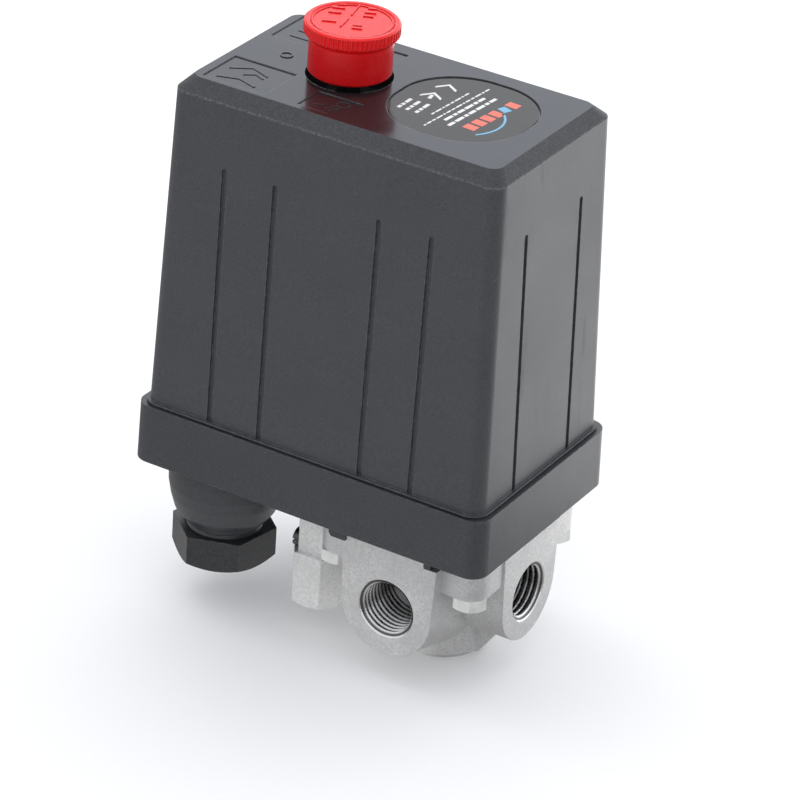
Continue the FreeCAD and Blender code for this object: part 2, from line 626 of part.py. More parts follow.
def diaphragm_parts():
    thickness = "base_level - flange_top"
    disc_start = ("port_offset", "0", f"-1 * ({thickness}) - 1")
    node(cylinder("diaphragm_disc", "diaphragm_radius", disc_start, "0.98"), "diaphragm")
    plate = body("piston_plate", in_housing("port_offset", "0", f"-1 * ({thickness})"))
    drawn = sketch(plate, "piston_plate_outline")
    rounded_rectangle(drawn, "flange_length", "flange_width - 0.4", "flange_corner")
    circle(drawn, "0", "0", "10.4")
    for x_side in ("-1", "1"):
        for y_side in ("-1", "1"):
            circle(drawn, f"{x_side} * bolt_x", f"{y_side} * bolt_y", "bolt_radius + 0.25")
    pad(plate, drawn, thickness)
    foot = cylinder("piston_foot", "10.3", ("port_offset", "0", f"-1 * ({thickness})"), "1.9")
    stem = cylinder("piston_stem", "4.9", ("port_offset", "0", "-1.5"), "8")
    tip = cone("piston_tip", "4.9", "1", ("port_offset", "0", "6.5"), "3.48")
    node(fuse("piston_shape", foot, stem, tip), "piston")


# ---------------------------------------------------------------- cable gland
def gland_parts():
    """The front gland's hexagon nut and the rubber seal that grips the cable."""
    axis = ("gland_x", "-gland_y")
    blank = hexagon("gland_nut_blank", "gland_flats", (*axis, "gland_nut_bottom"),
                    "gland_nut_top - gland_nut_bottom", True, number("gland_turn"))
    thread = cylinder("gland_nut_thread", "gland_thread + 0.04", (*axis, "gland_nut_bottom + 2"), "20")
    mouth = cylinder("gland_nut_mouth", "cable_radius + 0.8", (*axis, "gland_nut_bottom - 1"), "5")
    node(cut("gland_nut_shape", blank, thread, mouth), "gland_nut")
    seal_start = (*axis, "gland_nut_bottom + 2.02")
    node(ring("gland_seal_ring", "gland_bore - 0.05", "cable_radius", seal_start, "9"), "gland_seal")


# ---------------------------------------------------------------- unloader valve
def unloader_parts():
    """The valve that vents the pump: a block through the base, a plunger, and a compression nut."""
    axis = ("unloader_x", "unloader_y")
    block = box("unloader_block", ("unloader_x - 3", "unloader_x + 3"),
                ("unloader_y - 4.9", "unloader_y + 3.5"), ("unloader_seat", "5.6"))
    nipple = cylinder("unloader_nipple", "4", (*axis, "-20"), "5.8")
    air_way = cylinder("unloader_air_way", "1", (*axis, "-21"), "12")
    cavity = cylinder("unloader_cavity", "2.4", (*axis, "-12"), "11.05")
    guide = cylinder("unloader_guide", "pin_radius + running", (*axis, "-2"), "12")
    side = ("unloader_y - 2.7", "unloader_screw_z")
    side_hole = cylinder("unloader_side_hole", "1.2", ("unloader_x - 3.5", *side), "2.7", ALONG_X)
    node(cut("unloader", fuse("unloader_blank", block, nipple), air_way, cavity, guide, side_hole),
         "unloader_body")
    shank = cylinder("side_screw_shank", "1.15", ("unloader_x - 3.1", *side), "2", ALONG_X)
    head = cylinder("side_screw_head", "2.05", ("unloader_x - 4.7", *side), "1.68", ALONG_X)
    groove = box("side_screw_slot", ("unloader_x - 6", "unloader_x - 4"),
                 ("unloader_y - 6", "unloader_y + 1"),
                 ("unloader_screw_z - 0.3", "unloader_screw_z + 0.3"))
    node(cut("side_screw", fuse("side_screw_blank", shank, head), groove), "unloader_screw")

    height = "unloader_seat - unloader_end"
    blank = hexagon("tube_nut_blank", "tube_flats", (*axis, "unloader_end"), height, True)
    upper = cylinder("tube_nut_thread", "4.05", (*axis, "-22.3"), "12")
    lower = cylinder("tube_nut_mouth", "tube_radius", (*axis, "unloader_end - 1"), "8")
    node(cut("tube_nut", blank, upper, lower), "unloader_nut")
    node(ring("ferrule", "3.95", "tube_radius", (*axis, "-22.28"), "2.2"), "tube_ferrule")

    rod = cylinder("plunger_rod", "pin_radius", (*axis, "-2"), "11.98")
    head = cylinder("plunger_head", "2.2", (*axis, "-2.5"), "1.5")
    node(fuse("plunger", rod, head), "unloader_plunger")
    node(spring("unloader_coil", "1.75", "0.25", (*axis, "-11.95"), "9.4", 7), "unloader_spring")


# ---------------------------------------------------------------- pressure mechanism
def frame_bracket():
    """Sheet steel on the base's floor, held by the two left bolts, with two ears for the lever's pin."""
    bracket = body("frame_bracket", HOUSING)
    plate = sketch(bracket, "bracket_plate", offset="floor")
    outline(plate, [("0.6", "-21.6"), ("33.4", "-21.6"), ("33.4", "-15"), ("38.2", "-15"), ("38.2", "15"),
                    ("33.4", "15"), ("33.4", "21.6"), ("0.6", "21.6")])
    circle(plate, "port_offset", "0", "4.9 + running")
    circle(plate, "range_x", "0", "2.5 + running")
    circle(plate, "differential_x", "-6", "1.75 + running")
    circle(plate, "port_offset", "18.5", "1.7")
    for y_side in ("-1", "1"):
        circle(plate, "port_offset - bolt_x", f"{y_side} * bolt_y", "bolt_radius + 0.02")
    pad(bracket, plate, "3")
    for name, near in (("front", "-15"), ("rear", "13")):
        ear = sketch(bracket, f"{name}_ear", "XZ_Plane", offset=f"-1 * ({near})")
        outline(ear, [("lever_x - 1.4", "floor + 3"), ("lever_x - 3", "floor + 6"),
                      ("lever_x - 3", "lever_z"), ("lever_x - 1.5", "lever_z + 3.4"),
                      ("lever_x + 1.5", "lever_z + 3.4"), ("lever_x + 3", "lever_z"),
                      ("lever_x + 5", "floor"), ("lever_x - 1.4", "floor")])
        circle(ear, "lever_x", "lever_z", "pin_radius + 0.01")
        pad(bracket, ear, "2", Reversed=True)
    return bracket


def main_lever():
    """The lever that the piston lifts: a plate, a tab over the unloader, and a tall arm with a finger."""
    lever = body("main_lever", HOUSING)
    plate = sketch(lever, "lever_plate", offset="10")
    outline(plate, [("-6.4", "-15"), ("-1.6", "-15"), ("-1.6", "-12.4"), ("38", "-12.4"), ("38", "12.4"),
                    ("-1.6", "12.4"), ("-1.6", "-9"), ("-6.4", "-9")])
    circle(plate, "range_x", "0", "4")
    circle(plate, "differential_x", "-6", "2.8")
    pad(lever, plate, "2")
    arms = (("front", "-12.4", [("-1", "11"), ("4.6", "11"), ("4.6", "18.6"), ("2.5", "20"), ("2.5", "33"),
                                ("-1", "36")]),
            ("rear", "10", [("-1", "11"), ("4.6", "11"), ("4.6", "18.6"), ("2.5", "20"), ("2.5", "37.4"),
                            ("-10.4", "37.4"), ("-10.4", "34.4"), ("-1", "34.4")]))
    for name, near, points in arms:
        drawn = sketch(lever, f"{name}_arm", "XZ_Plane", offset=f"-1 * ({near})")
        outline(drawn, points)
        circle(drawn, "lever_x", "lever_z", "pin_radius + running")
        pad(lever, drawn, "2.4", Reversed=True)
    return lever


def adjusting_screw(prefix, place, radius, flats, low, top, collar_level, collar_height):
    """A hexagon-headed screw that turns in the bracket, held there by its collar."""
    shank = cylinder(f"{prefix}_shank", radius, (*place, low), f"{top} - {low} + 1")
    collar = cylinder(f"{prefix}_collar", f"{radius} + 0.9", (*place, collar_level), collar_height)
    head = hexagon(f"{prefix}_head", flats, (*place, top), "4", False)
    node(fuse(f"{prefix}_screw_shape", shank, collar, head), f"{prefix}_screw")


def adjusting_spring(prefix, place, screw_radius, coil_radius, wire_radius, seat_level, turns):
    """The spring between a foot on the main lever and the seat that the screw's thread moves."""
    outer = f"{coil_radius} + {wire_radius} + 0.6"
    foot = ring(f"{prefix}_foot", outer, f"{coil_radius} - {wire_radius} - 0.1", (*place, "12.01"), "1.5")
    node(foot, f"{prefix}_spring_foot")
    node(spring(f"{prefix}_coil", coil_radius, wire_radius, (*place, "13.53"), f"{seat_level} - 13.55",
                turns), f"{prefix}_spring")
    seat = ring(f"{prefix}_seat", outer, f"{screw_radius} + running", (*place, seat_level), "3")
    node(seat, f"{prefix}_spring_seat")


def pins():
    node(cylinder("lever_pin_rod", "pin_radius", ("lever_x", "-16.4", "lever_z"), "32.8", ALONG_Y),
         "lever_pin")
    node(cylinder("carrier_pin_rod", "pin_radius", ("carrier_x", "-17.4", "carrier_z"), "34.8", ALONG_Y),
         "carrier_pin")
    shank = cylinder("earth_shank", "1.65", ("port_offset", "18.5", "3.1"), "4")
    head = cylinder("earth_head", "3", ("port_offset", "18.5", "6.02"), "2.2")
    slot_cut = box("earth_slot", ("port_offset - 4", "port_offset + 4"), ("18.1", "18.9"), ("7.2", "9"))
    node(cut("earth", fuse("earth_blank", shank, head), slot_cut), "earth_screw")


# ---------------------------------------------------------------- contacts
def contact_block():
    """The phenolic bridge over the cable entries that carries the contacts and the carrier's pin."""
    block = body("contact_block", HOUSING)
    bridge = sketch(block, "bridge", "XZ_Plane")
    outline(bridge, [("-38.4", "floor"), ("-36", "floor"), ("-36", "block_top - 6"),
                     ("-11", "block_top - 6"), ("-11", "floor"), ("-8.2", "floor"), ("-8.2", "block_top"),
                     ("-38.4", "block_top")])
    pad(block, bridge, "40", Midplane=True)
    for name, near in (("front", "-17"), ("rear", "14")):
        cheek = sketch(block, f"{name}_cheek", "XZ_Plane", offset=f"-1 * ({near})")
        outline(cheek, [("carrier_x - 4", "block_top - 1"), ("carrier_x + 4", "block_top - 1"),
                        ("carrier_x + 3", "carrier_z + 3"), ("carrier_x - 3", "carrier_z + 3")])
        circle(cheek, "carrier_x", "carrier_z", "pin_radius + 0.01")
        pad(block, cheek, "3", Reversed=True)
    holes = sketch(block, "block_holes", offset="block_top")
    circle(holes, "post_x", "0", "post_radius + 0.2")
    for y in ("-15.5", "-7", "7", "15.5"):
        circle(holes, "-27", y, "1.5")
    pocket(block, holes, "6")
    return block


def off_lever():
    """The lever under the stem's toe: it tilts the contact carrier open when the knob is pushed down."""
    sleeve = cylinder("off_sleeve", "2.8", ("carrier_x", "-4.5", "carrier_z"), "9.5", ALONG_Y)
    tail = box("off_tail", ("carrier_x + 1", "-2"), ("-4", "5"), ("32", "34"))
    bar = box("off_bar", ("-15", "-12.2"), ("-12.9", "12.9"), ("34.3", "36.2"))
    web = box("off_web", ("-15", "-12.2"), ("-4", "5"), ("33", "35"))
    bore = cylinder("off_bore", "pin_radius + running", ("carrier_x", "-6", "carrier_z"), "13", ALONG_Y)
    return node(cut("off", fuse("off_blank", sleeve, tail, bar, web), bore), "off_lever")


def contact_carrier():
    """The rocking arms that carry the bar above the moving contacts."""
    parts = []
    bores = []
    for name, near in (("front", "-12.4"), ("rear", "10")):
        far = f"{near} + 2.4"
        parts.append(cylinder(f"carrier_sleeve_{name}", "3", ("carrier_x", near, "carrier_z"), "2.4",
                              ALONG_Y))
        parts.append(box(f"carrier_arm_{name}", ("-34", "carrier_x"), (near, far), ("32", "35")))
        parts.append(box(f"carrier_tail_{name}", ("carrier_x", "-8.4"), (near, far), ("32", "34.1")))
        bores.append(cylinder(f"carrier_bore_{name}", "pin_radius + running",
                              ("carrier_x", f"{near} - 1", "carrier_z"), "4.4", ALONG_Y))
    parts.append(box("carrier_bar", ("-37", "-32.6"), ("-18", "18"), ("33", "36")))
    return node(cut("carrier", fuse("carrier_blank", *parts), *bores), "contact_carrier")


def fixed_contact(name, place):
    """One pole's copper strip with its rivet, lying on the block along X at the given Y."""
    strip = box(f"strip_{name}", ("-38", "-24.4"), (place - 2.2, place + 2.2), ("block_top + 0.01", "27"))
    rivet = cylinder(f"rivet_{name}", "1.5", ("-34", place, "26.9"), "1.7")
    hole = cylinder(f"strip_hole_{name}", "1.45", ("-27", place, "25"), "4")
    return cut(f"fixed_{name}", fuse(f"fixed_blank_{name}", strip, rivet), hole)


def terminal_screw(name, place):
    head = cylinder(f"terminal_head_{name}", "2.3", ("-27", place, "27.01"), "1.9")
    shank = cylinder(f"terminal_shank_{name}", "1.4", ("-27", place, "21"), "6.5")
    slot_cut = box(f"terminal_slot_{name}", ("-30", "-24"), (place - 0.3, place + 0.3), ("28.1", "30"))
    return cut(f"terminal_{name}", fuse(f"terminal_blank_{name}", head, shank), slot_cut)


def contacts():
    """Two bridges that each join two fixed contacts, with their springs and the terminals' screws."""
    bridges, strips, coils, screws = [], [], [], []
    for name, side in (("front", -1), ("rear", 1)):
        poles = {f"{name}_inner": side * 7, f"{name}_outer": side * 15.5}
        low, high = sorted((side * 5, side * 17.4))
        bar = box(f"bridge_bar_{name}", ("-35.5", "-32.5"), (low, high), ("29.2", "30.2"))
        tips = [cylinder(f"bridge_tip_{pole}", "1.4", ("-34", place, "28.62"), "0.8")
                for pole, place in poles.items()]
        bridges.append(fuse(f"bridge_{name}", bar, *tips))
        coil_start = ("-34", side * 14.6, "30.22")
        coils.append(spring(f"contact_coil_{name}", "1.5", "0.28", coil_start, "2.76", 3))
        strips += [fixed_contact(pole, place) for pole, place in poles.items()]
        screws += [terminal_screw(pole, place) for pole, place in poles.items()]
    node(group("bridges", bridges), "moving_contacts")
    node(group("strips", strips), "fixed_contacts")
    node(group("contact_coils", coils), "contact_springs")
    node(group("terminals", screws), "terminal_screws")
    node(spring("toggle_coil", "1.2", "0.25", ("-8.3", "-11.2", "33"), "7.2", 7, ALONG_X), "toggle_spring")


def main():
    base_housing()
    cover()
    cover_label()
    cover_screw()
    knob()
    knob_stem()
    stem_guide()
    node(spring("knob_coil", "3.6", "0.4", ("knob_x", "knob_y", "45.52"), "12.44", 6), "knob_spring")
    manifold()
    flange_bolts()
    diaphragm_parts()
    gland_parts()
    unloader_parts()
    frame_bracket()
    main_lever()
    range_place, differential_place = ("range_x", "0"), ("differential_x", "-6")
    adjusting_screw("range", range_place, "2.5", "8", "1.6", "58", "1.6", "1.38")
    adjusting_spring("range", range_place, "2.5", "5.4", "0.8", "46", 7)
    adjusting_screw("differential", differential_place, "1.75", "5.5", "3.05", "38", "6.02", "1.2")
    adjusting_spring("differential", differential_place, "1.75", "3.4", "0.4", "30", 6)
    pins()
    contact_block()
    off_lever()
    contact_carrier()
    contacts()
    document.recompute()
    check()
    os.makedirs("parts", exist_ok=True)
    for piece in NODES:
        piece.Shape.exportStep(f"parts/{piece.Label}.step")
        print(f"{piece.Label}: {len(piece.Shape.Solids)} solid(s), {piece.Shape.Volume:.0f} mm3")


def check():
    """Stop if any feature failed or any piece is empty or broken."""
    failed = [item.Name for item in document.Objects if {"Invalid", "Error"} & set(item.State)]
    for piece in NODES:
        if piece.Shape.isNull() or not piece.Shape.isValid() or not piece.Shape.Solids:
            failed.append(piece.Label)
    if failed:
        raise RuntimeError(f"these features failed: {failed}")


main()
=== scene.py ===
import json
import math

import bmesh
import bpy
from mathutils import Matrix, Vector


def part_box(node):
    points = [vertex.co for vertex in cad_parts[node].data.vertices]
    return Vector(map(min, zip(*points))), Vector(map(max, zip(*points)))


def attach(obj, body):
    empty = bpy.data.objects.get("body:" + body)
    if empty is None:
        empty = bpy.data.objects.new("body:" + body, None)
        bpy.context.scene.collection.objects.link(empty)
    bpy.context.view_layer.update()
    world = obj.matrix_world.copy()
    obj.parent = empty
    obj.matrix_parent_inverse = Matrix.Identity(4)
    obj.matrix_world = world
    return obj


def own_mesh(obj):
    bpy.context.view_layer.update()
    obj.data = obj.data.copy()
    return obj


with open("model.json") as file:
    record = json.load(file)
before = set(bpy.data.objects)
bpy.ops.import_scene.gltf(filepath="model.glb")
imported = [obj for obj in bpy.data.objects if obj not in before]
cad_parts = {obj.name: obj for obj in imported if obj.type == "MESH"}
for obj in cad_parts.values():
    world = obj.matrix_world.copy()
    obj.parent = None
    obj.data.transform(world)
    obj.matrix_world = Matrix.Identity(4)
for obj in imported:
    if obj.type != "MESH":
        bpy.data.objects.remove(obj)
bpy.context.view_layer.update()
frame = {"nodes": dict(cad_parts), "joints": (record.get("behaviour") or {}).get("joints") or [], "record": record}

MM = 0.001


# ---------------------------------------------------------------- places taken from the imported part
def middle(node):
    """The middle of a node's box."""
    low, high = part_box(node)
    return (low + high) / 2


KNOB_AXIS = middle("knob")
KNOB_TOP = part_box("knob")[1].z
KNOB_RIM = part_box("knob")[1].x - KNOB_AXIS.x
LABEL_CENTRE = middle("cover_label")
LABEL_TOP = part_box("cover_label")[1].z
COVER_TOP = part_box("cover")[1].z
HOUSING_CENTRE = middle("base_housing")
# The shoulder is where the cover's walls meet the bevels; the windows are shallow pockets in its top.
SHOULDER = COVER_TOP - 2.7 * MM
WINDOW_FLOOR = COVER_TOP - 0.22 * MM
# Raised marks start this far below the face they stand on, so that no gap shows.
SUNK = 0.02 * MM

# The look of the manifold's ports: how deep it goes, the mouth's radius, and the radii at which the painted
# shade in a thread's groove starts, is full and ends.
PORT_REACH = 12.5 * MM
PORT_MOUTH = 6.80 * MM
GROOVE_START = 5.85 * MM
GROOVE_FULL = 6.15 * MM
GROOVE_END = 6.52 * MM


# ---------------------------------------------------------------- materials
BEVEL_SAMPLES = 4
# How far a rounded edge's normal agrees with its face's: on a flat face, and on a sharp edge.
ON_FLAT, ON_EDGE = 0.995, 0.86


class Look:
    """One material's node tree, with short ways to add the textures that the surfaces share."""

    def __init__(self, name):
        self.material = bpy.data.materials.new(name)
        self.material.use_nodes = True
        self.tree = self.material.node_tree
        self.shader = self.tree.nodes["Principled BSDF"]
        self.place = self.tree.nodes.new("ShaderNodeTexCoord").outputs["Object"]

    def feed(self, socket, value):
        """Links a socket to an input, or gives the input a plain value."""
        if isinstance(value, bpy.types.NodeSocket):
            self.tree.links.new(value, socket)
        elif value is not None:
            socket.default_value = value

    def node(self, kind, output, inputs, **settings):
        """Adds a node, feeds its inputs by name or number, and gives one of its outputs."""
        made = self.tree.nodes.new(kind)
        for name, value in settings.items():
            setattr(made, name, value)
        for key, value in inputs.items():
            self.feed(made.inputs[key], value)
        return made.outputs[output]

    def noise(self, size, detail=3.0, stretch=(1, 1, 1)):
        """Noise whose blotches are about the given size in millimetres, stretched along the axes."""
        scale = Vector([1 / (size * part * MM) for part in stretch])
        place = self.node("ShaderNodeMapping", 0, {"Vector": self.place, "Scale": scale})
        return self.node("ShaderNodeTexNoise", "Fac", {"Vector": place, "Scale": 1.0, "Detail": detail})

    def cells(self, size):
        """How far the nearest of scattered points is, as a share of their spacing in millimetres."""
        scale = Vector((1, 1, 1)) / (size * MM)
        place = self.node("ShaderNodeMapping", 0, {"Vector": self.place, "Scale": scale})
        return self.node("ShaderNodeTexVoronoi", "Distance", {"Vector": place, "Scale": 1.0})

    def span(self, value, low, high, to_low=0.0, to_high=1.0):
        """The value moved from one range to another and kept inside it."""
        return self.node("ShaderNodeMapRange", 0, {"Value": value, "From Min": low, "From Max": high,
                                                   "To Min": to_low, "To Max": to_high})

    def maths(self, operation, first, second=0.0):
        """One operation on one or two numbers."""
        return self.node("ShaderNodeMath", 0, {0: first, 1: second}, operation=operation)

    def mix(self, share, first, second):
        """A number between two numbers."""
        return self.node("ShaderNodeMix", 0, {0: share, 2: first, 3: second})

    def blend(self, share, first, second):
        """A colour between two colours."""
        return self.node("ShaderNodeMix", 2, {0: share, 6: first, 7: second}, data_type="RGBA")

    def edges(self, reach):
        """1 on sharp edges and 0 on flat faces, over a reach in millimetres."""
        rounded = self.node("ShaderNodeBevel", 0, {"Radius": reach * MM}, samples=BEVEL_SAMPLES)
        flat = self.node("ShaderNodeNewGeometry", "Normal", {})
        agreement = self.node("ShaderNodeVectorMath", "Value", {0: rounded, 1: flat},
                              operation="DOT_PRODUCT")
        return self.span(agreement, ON_FLAT, ON_EDGE)

    def axis(self, name):
        """One coordinate of the place on the surface, in metres."""
        return self.node("ShaderNodeSeparateXYZ", name, {0: self.place})

    def facing_up(self):
        """The part of the face's own normal that points up: 1 on level faces and 0 on walls."""
        normal = self.node("ShaderNodeNewGeometry", "True Normal", {})
        return self.node("ShaderNodeSeparateXYZ", "Z", {0: normal})

    def bump(self, *heights, edge=0.15):
        """Bumps, each a height and its depth in millimetres, over edges rounded by the given radius."""
        normal = self.node("ShaderNodeBevel", 0, {"Radius": edge * MM}, samples=BEVEL_SAMPLES)
        for height, depth in heights:
            normal = self.node("ShaderNodeBump", 0, {"Height": height, "Distance": depth * MM,
                                                     "Normal": normal})
        self.feed(self.shader.inputs["Normal"], normal)

    def finish(self, **values):
        """Feeds the shader's inputs by their names in lower case, and gives the material."""
        for name, value in values.items():
            self.feed(self.shader.inputs[name.replace("_", " ").title().replace("Ior", "IOR")], value)
        return self.material


def rgb(red, green, blue):
    return (red, green, blue, 1.0)


def grey(level):
    return rgb(level, level, level)


def axis_distance(look, across):
    """The distance from an axis, from the two directions across it and the axis's places along them."""
    square = [look.maths("POWER", look.maths("SUBTRACT", look.axis(name), centre), 2.0)
              for name, centre in across]
    return look.maths("SQRT", look.maths("ADD", *square))


def scaled(shade, factor):
    """A darker or lighter shade, from its red, green and blue."""
    return rgb(*[part * factor for part in shade])


PLASTIC_IOR = 1.50


def moulded_skin(look, shade, roughness):
    """Colour, roughness, clouds and grain of moulded plastic with pale worn spots on its edges, scuffs and some
    dust.
    """
    pale_grain, dust, pale_edging = grey(0.10), grey(0.22), grey(0.26)
    grain = look.noise(0.45, 4.0)
    clouds = look.noise(14.0, 3.0)
    scuffs = look.noise(3.0, 5.0, (1, 1, 6))
    wear = look.maths("MULTIPLY", look.edges(0.35), look.span(look.noise(1.2, 4.0), 0.42, 0.66))
    base = look.blend(clouds, scaled(shade, 0.90), scaled(shade, 1.10))
    base = look.blend(look.span(grain, 0.35, 0.7, 0.0, 0.25), base, pale_grain)
    base = look.blend(look.span(look.cells(2.3), 0.06, 0.03, 0.0, 0.35), base, dust)
    base = look.blend(look.maths("MULTIPLY", wear, 0.45), base, pale_edging)
    rough = look.maths("ADD", look.span(clouds, 0.3, 0.7, roughness - 0.03, roughness + 0.04),
                       look.span(scuffs, 0.62, 0.75, 0.0, 0.10))
    return base, rough, clouds, grain


def moulded(name, shade, roughness, grain_depth):
    """Moulded plastic all over, its grain's depth in millimetres."""
    look = Look(name)
    base, rough, clouds, grain = moulded_skin(look, shade, roughness)
    look.bump((clouds, 0.03), (grain, grain_depth), edge=0.25)
    return look.finish(base_color=base, roughness=rough, ior=PLASTIC_IOR)


def housing_black():
    return moulded("housing_black", (0.032, 0.035, 0.040), 0.38, 0.020)


def cover_black():
    """The cover's plastic: grained walls, a polished top with a painted blue tint in its reflections, coarse dark
    bevels and a pale speckled line along the shoulder.
    """
    look = Look("cover_black")
    shade = (0.040, 0.043, 0.048)
    # Painted reflection colour: the polished top's reflections are tinted blue.
    painted_sky_tint = rgb(0.72, 0.80, 1.0)
    base, rough, clouds, grain = moulded_skin(look, shade, 0.38)
    height = look.axis("Z")
    slope = look.facing_up()
    bevel = look.maths("MULTIPLY", look.span(slope, 0.4, 0.5), look.span(slope, 0.95, 0.9))
    mottle = look.noise(0.5, 4.0)
    bevel_colour = look.blend(look.span(mottle, 0.35, 0.70), scaled(shade, 0.60), scaled(shade, 0.95))
    base = look.blend(bevel, base, bevel_colour)
    rough = look.mix(bevel, rough, look.span(mottle, 0.35, 0.65, 0.62, 0.50))
    top = look.maths("MULTIPLY", look.span(height, COVER_TOP - 0.7 * MM, COVER_TOP - 0.6 * MM),
                     look.span(slope, 0.95, 0.98))
    base = look.blend(look.maths("MULTIPLY", top, 0.95), base, scaled(shade, 0.30))
    rough = look.mix(top, rough, look.span(clouds, 0.35, 0.7, 0.13, 0.22))
    grain = look.maths("MULTIPLY", grain, look.span(top, 0.0, 1.0, 1.0, 0.12))
    off_shoulder = look.maths("ABSOLUTE", look.maths("SUBTRACT", height, SHOULDER))
    # Paler speckles along the line where the walls meet the bevels.
    pale_edging = look.maths("MULTIPLY", look.span(off_shoulder, 0.30 * MM, 0.10 * MM),
                        look.span(look.noise(0.6, 4.0), 0.40, 0.62))
    base = look.blend(look.maths("MULTIPLY", pale_edging, 0.5), base, grey(0.16))
    look.bump((clouds, 0.03), (grain, 0.020), (look.maths("MULTIPLY", mottle, bevel), 0.02), edge=0.25)
    # The top's specular tint is the painted blue of its reflections.
    return look.finish(base_color=base, roughness=rough, ior=PLASTIC_IOR,
                       specular_tint=look.blend(top, grey(1.0), painted_sky_tint))


def nut_black():
    return moulded("nut_black", (0.014, 0.015, 0.017), 0.38, 0.015)


def phenolic():
    return moulded("phenolic", (0.060, 0.035, 0.022), 0.45, 0.010)


def stem_plastic():
    return moulded("stem_plastic", (0.62, 0.60, 0.54), 0.42, 0.008)


def knob_red():
    """Glossy red moulding with painted shade on the skirt and in the flutes, a painted highlight on its edges,
    flow marks and finger scuffs.
    """
    look = Look("knob_red")
    skirt_shade_start, skirt_shade_full = KNOB_TOP - 3.0 * MM, KNOB_TOP - 5.0 * MM
    skirt_shade_red, flute_shade_red, edge_highlight_red = rgb(0.52, 0.003, 0.005), rgb(0.45, 0.002, 0.004), rgb(0.92, 0.06, 0.06)
    flow = look.noise(5.0, 3.0, (1, 1, 3))
    scuffs = look.noise(0.9, 6.0, (4, 1, 1))
    base = look.blend(flow, rgb(0.78, 0.005, 0.006), rgb(0.86, 0.007, 0.009))
    # Painted shade: the skirt darkens below the band, from 3 mm under the knob's top to full at 5 mm.
    painted_skirt_shade = look.span(look.axis("Z"), skirt_shade_start, skirt_shade_full)
    base = look.blend(look.maths("MULTIPLY", painted_skirt_shade, 0.8), base, skirt_shade_red)
    from_axis = axis_distance(look, (("X", KNOB_AXIS.x), ("Y", KNOB_AXIS.y)))
    # Painted shade in the flutes: darker red on the band's walls just inside the rim.
    painted_flute_shade = look.maths("MULTIPLY", look.span(from_axis, KNOB_RIM - 0.10 * MM, KNOB_RIM - 0.25 * MM),
                       look.maths("SUBTRACT", 1.0, painted_skirt_shade))
    on_side = look.span(look.facing_up(), 0.5, 0.3)
    base = look.blend(look.maths("MULTIPLY", look.maths("MULTIPLY", painted_flute_shade, on_side), 0.35), base, flute_shade_red)
    # Painted highlight: every edge of the knob turns a lighter red.
    base = look.blend(look.maths("MULTIPLY", look.edges(0.25), 0.25), base, edge_highlight_red)
    rough = look.span(scuffs, 0.45, 0.75, 0.24, 0.36)
    look.bump((flow, 0.01), (scuffs, 0.003), edge=0.2)
    return look.finish(base_color=base, roughness=rough, specular_ior_level=0.36, subsurface_weight=0.05,
                       subsurface_scale=0.6 * MM, subsurface_radius=Vector((1.0, 0.15, 0.12)))


def label_face():
    """Glossy black printed film, with fine waves from the glue under it and a painted highlight on its edges."""
    look = Look("label_face")
    waves = look.noise(9.0, 2.0)
    fine = look.noise(1.4, 3.0)
    base = look.blend(waves, grey(0.010), grey(0.016))
    # Painted highlight: the label's edges are a lighter grey.
    base = look.blend(look.maths("MULTIPLY", look.edges(0.2), 0.8), base, grey(0.20))
    look.bump((waves, 0.05), (fine, 0.003), edge=0.05)
    return look.finish(base_color=base, roughness=look.span(fine, 0.3, 0.8, 0.08, 0.16),
                       specular_ior_level=0.30)


def print_ink(name, colour):
    """Screen-printed ink with a slightly uneven coat."""
    look = Look(name)
    coat = look.noise(0.5, 4.0)
    base = look.blend(look.span(coat, 0.35, 0.75), colour, scaled(colour[:3], 0.82))
    look.bump((coat, 0.004), edge=0.02)
    return look.finish(base_color=base, roughness=look.span(coat, 0.3, 0.7, 0.22, 0.36))


CAST_METALLIC = 0.85


def cast_metal(name, shade, grain_depth, smoothness=0.0):
    """Tumbled cast alloy: a pebbled skin with dull stains, bright scuffs on edges and a few pits."""
    bright_edge = grey(0.85)
    look = Look(name)
    grain = look.noise(0.55, 6.0)
    skin = look.noise(2.2, 4.0)
    stains = look.noise(7.0, 4.0)
    pits = look.span(look.cells(2.6), 0.13, 0.05)
    wear = look.maths("MULTIPLY", look.edges(0.4), look.span(look.noise(0.8, 3.0), 0.35, 0.6))
    base = look.blend(look.span(stains, 0.35, 0.7), grey(shade * 0.90), grey(shade * 1.06))
    base = look.blend(look.span(grain, 0.35, 0.7), base, grey(shade * 0.80))
    base = look.blend(look.maths("MULTIPLY", pits, 0.3), base, grey(shade * 0.5))
    base = look.blend(look.maths("MULTIPLY", wear, 0.6), base, bright_edge)
    rough = look.maths("SUBTRACT", look.span(skin, 0.35, 0.7, 0.48 - smoothness, 0.62 - smoothness),
                       look.maths("MULTIPLY", wear, 0.15))
    look.bump((skin, 0.06), (grain, grain_depth), (look.maths("MULTIPLY", pits, -1.0), 0.03), edge=0.35)
    return look, base, rough


def cast_plain():
    """The casting's look without ports, for the unloader's body and nut."""
    look, base, rough = cast_metal("cast_plain", 0.90, 0.02, smoothness=0.06)
    return look.finish(base_color=base, metallic=CAST_METALLIC, roughness=rough)


def port_level(name):
    """The height of a port's axis."""
    return next(mount["pos_m"][2] for mount in frame["record"]["mounts"] if mount["name"] == name)


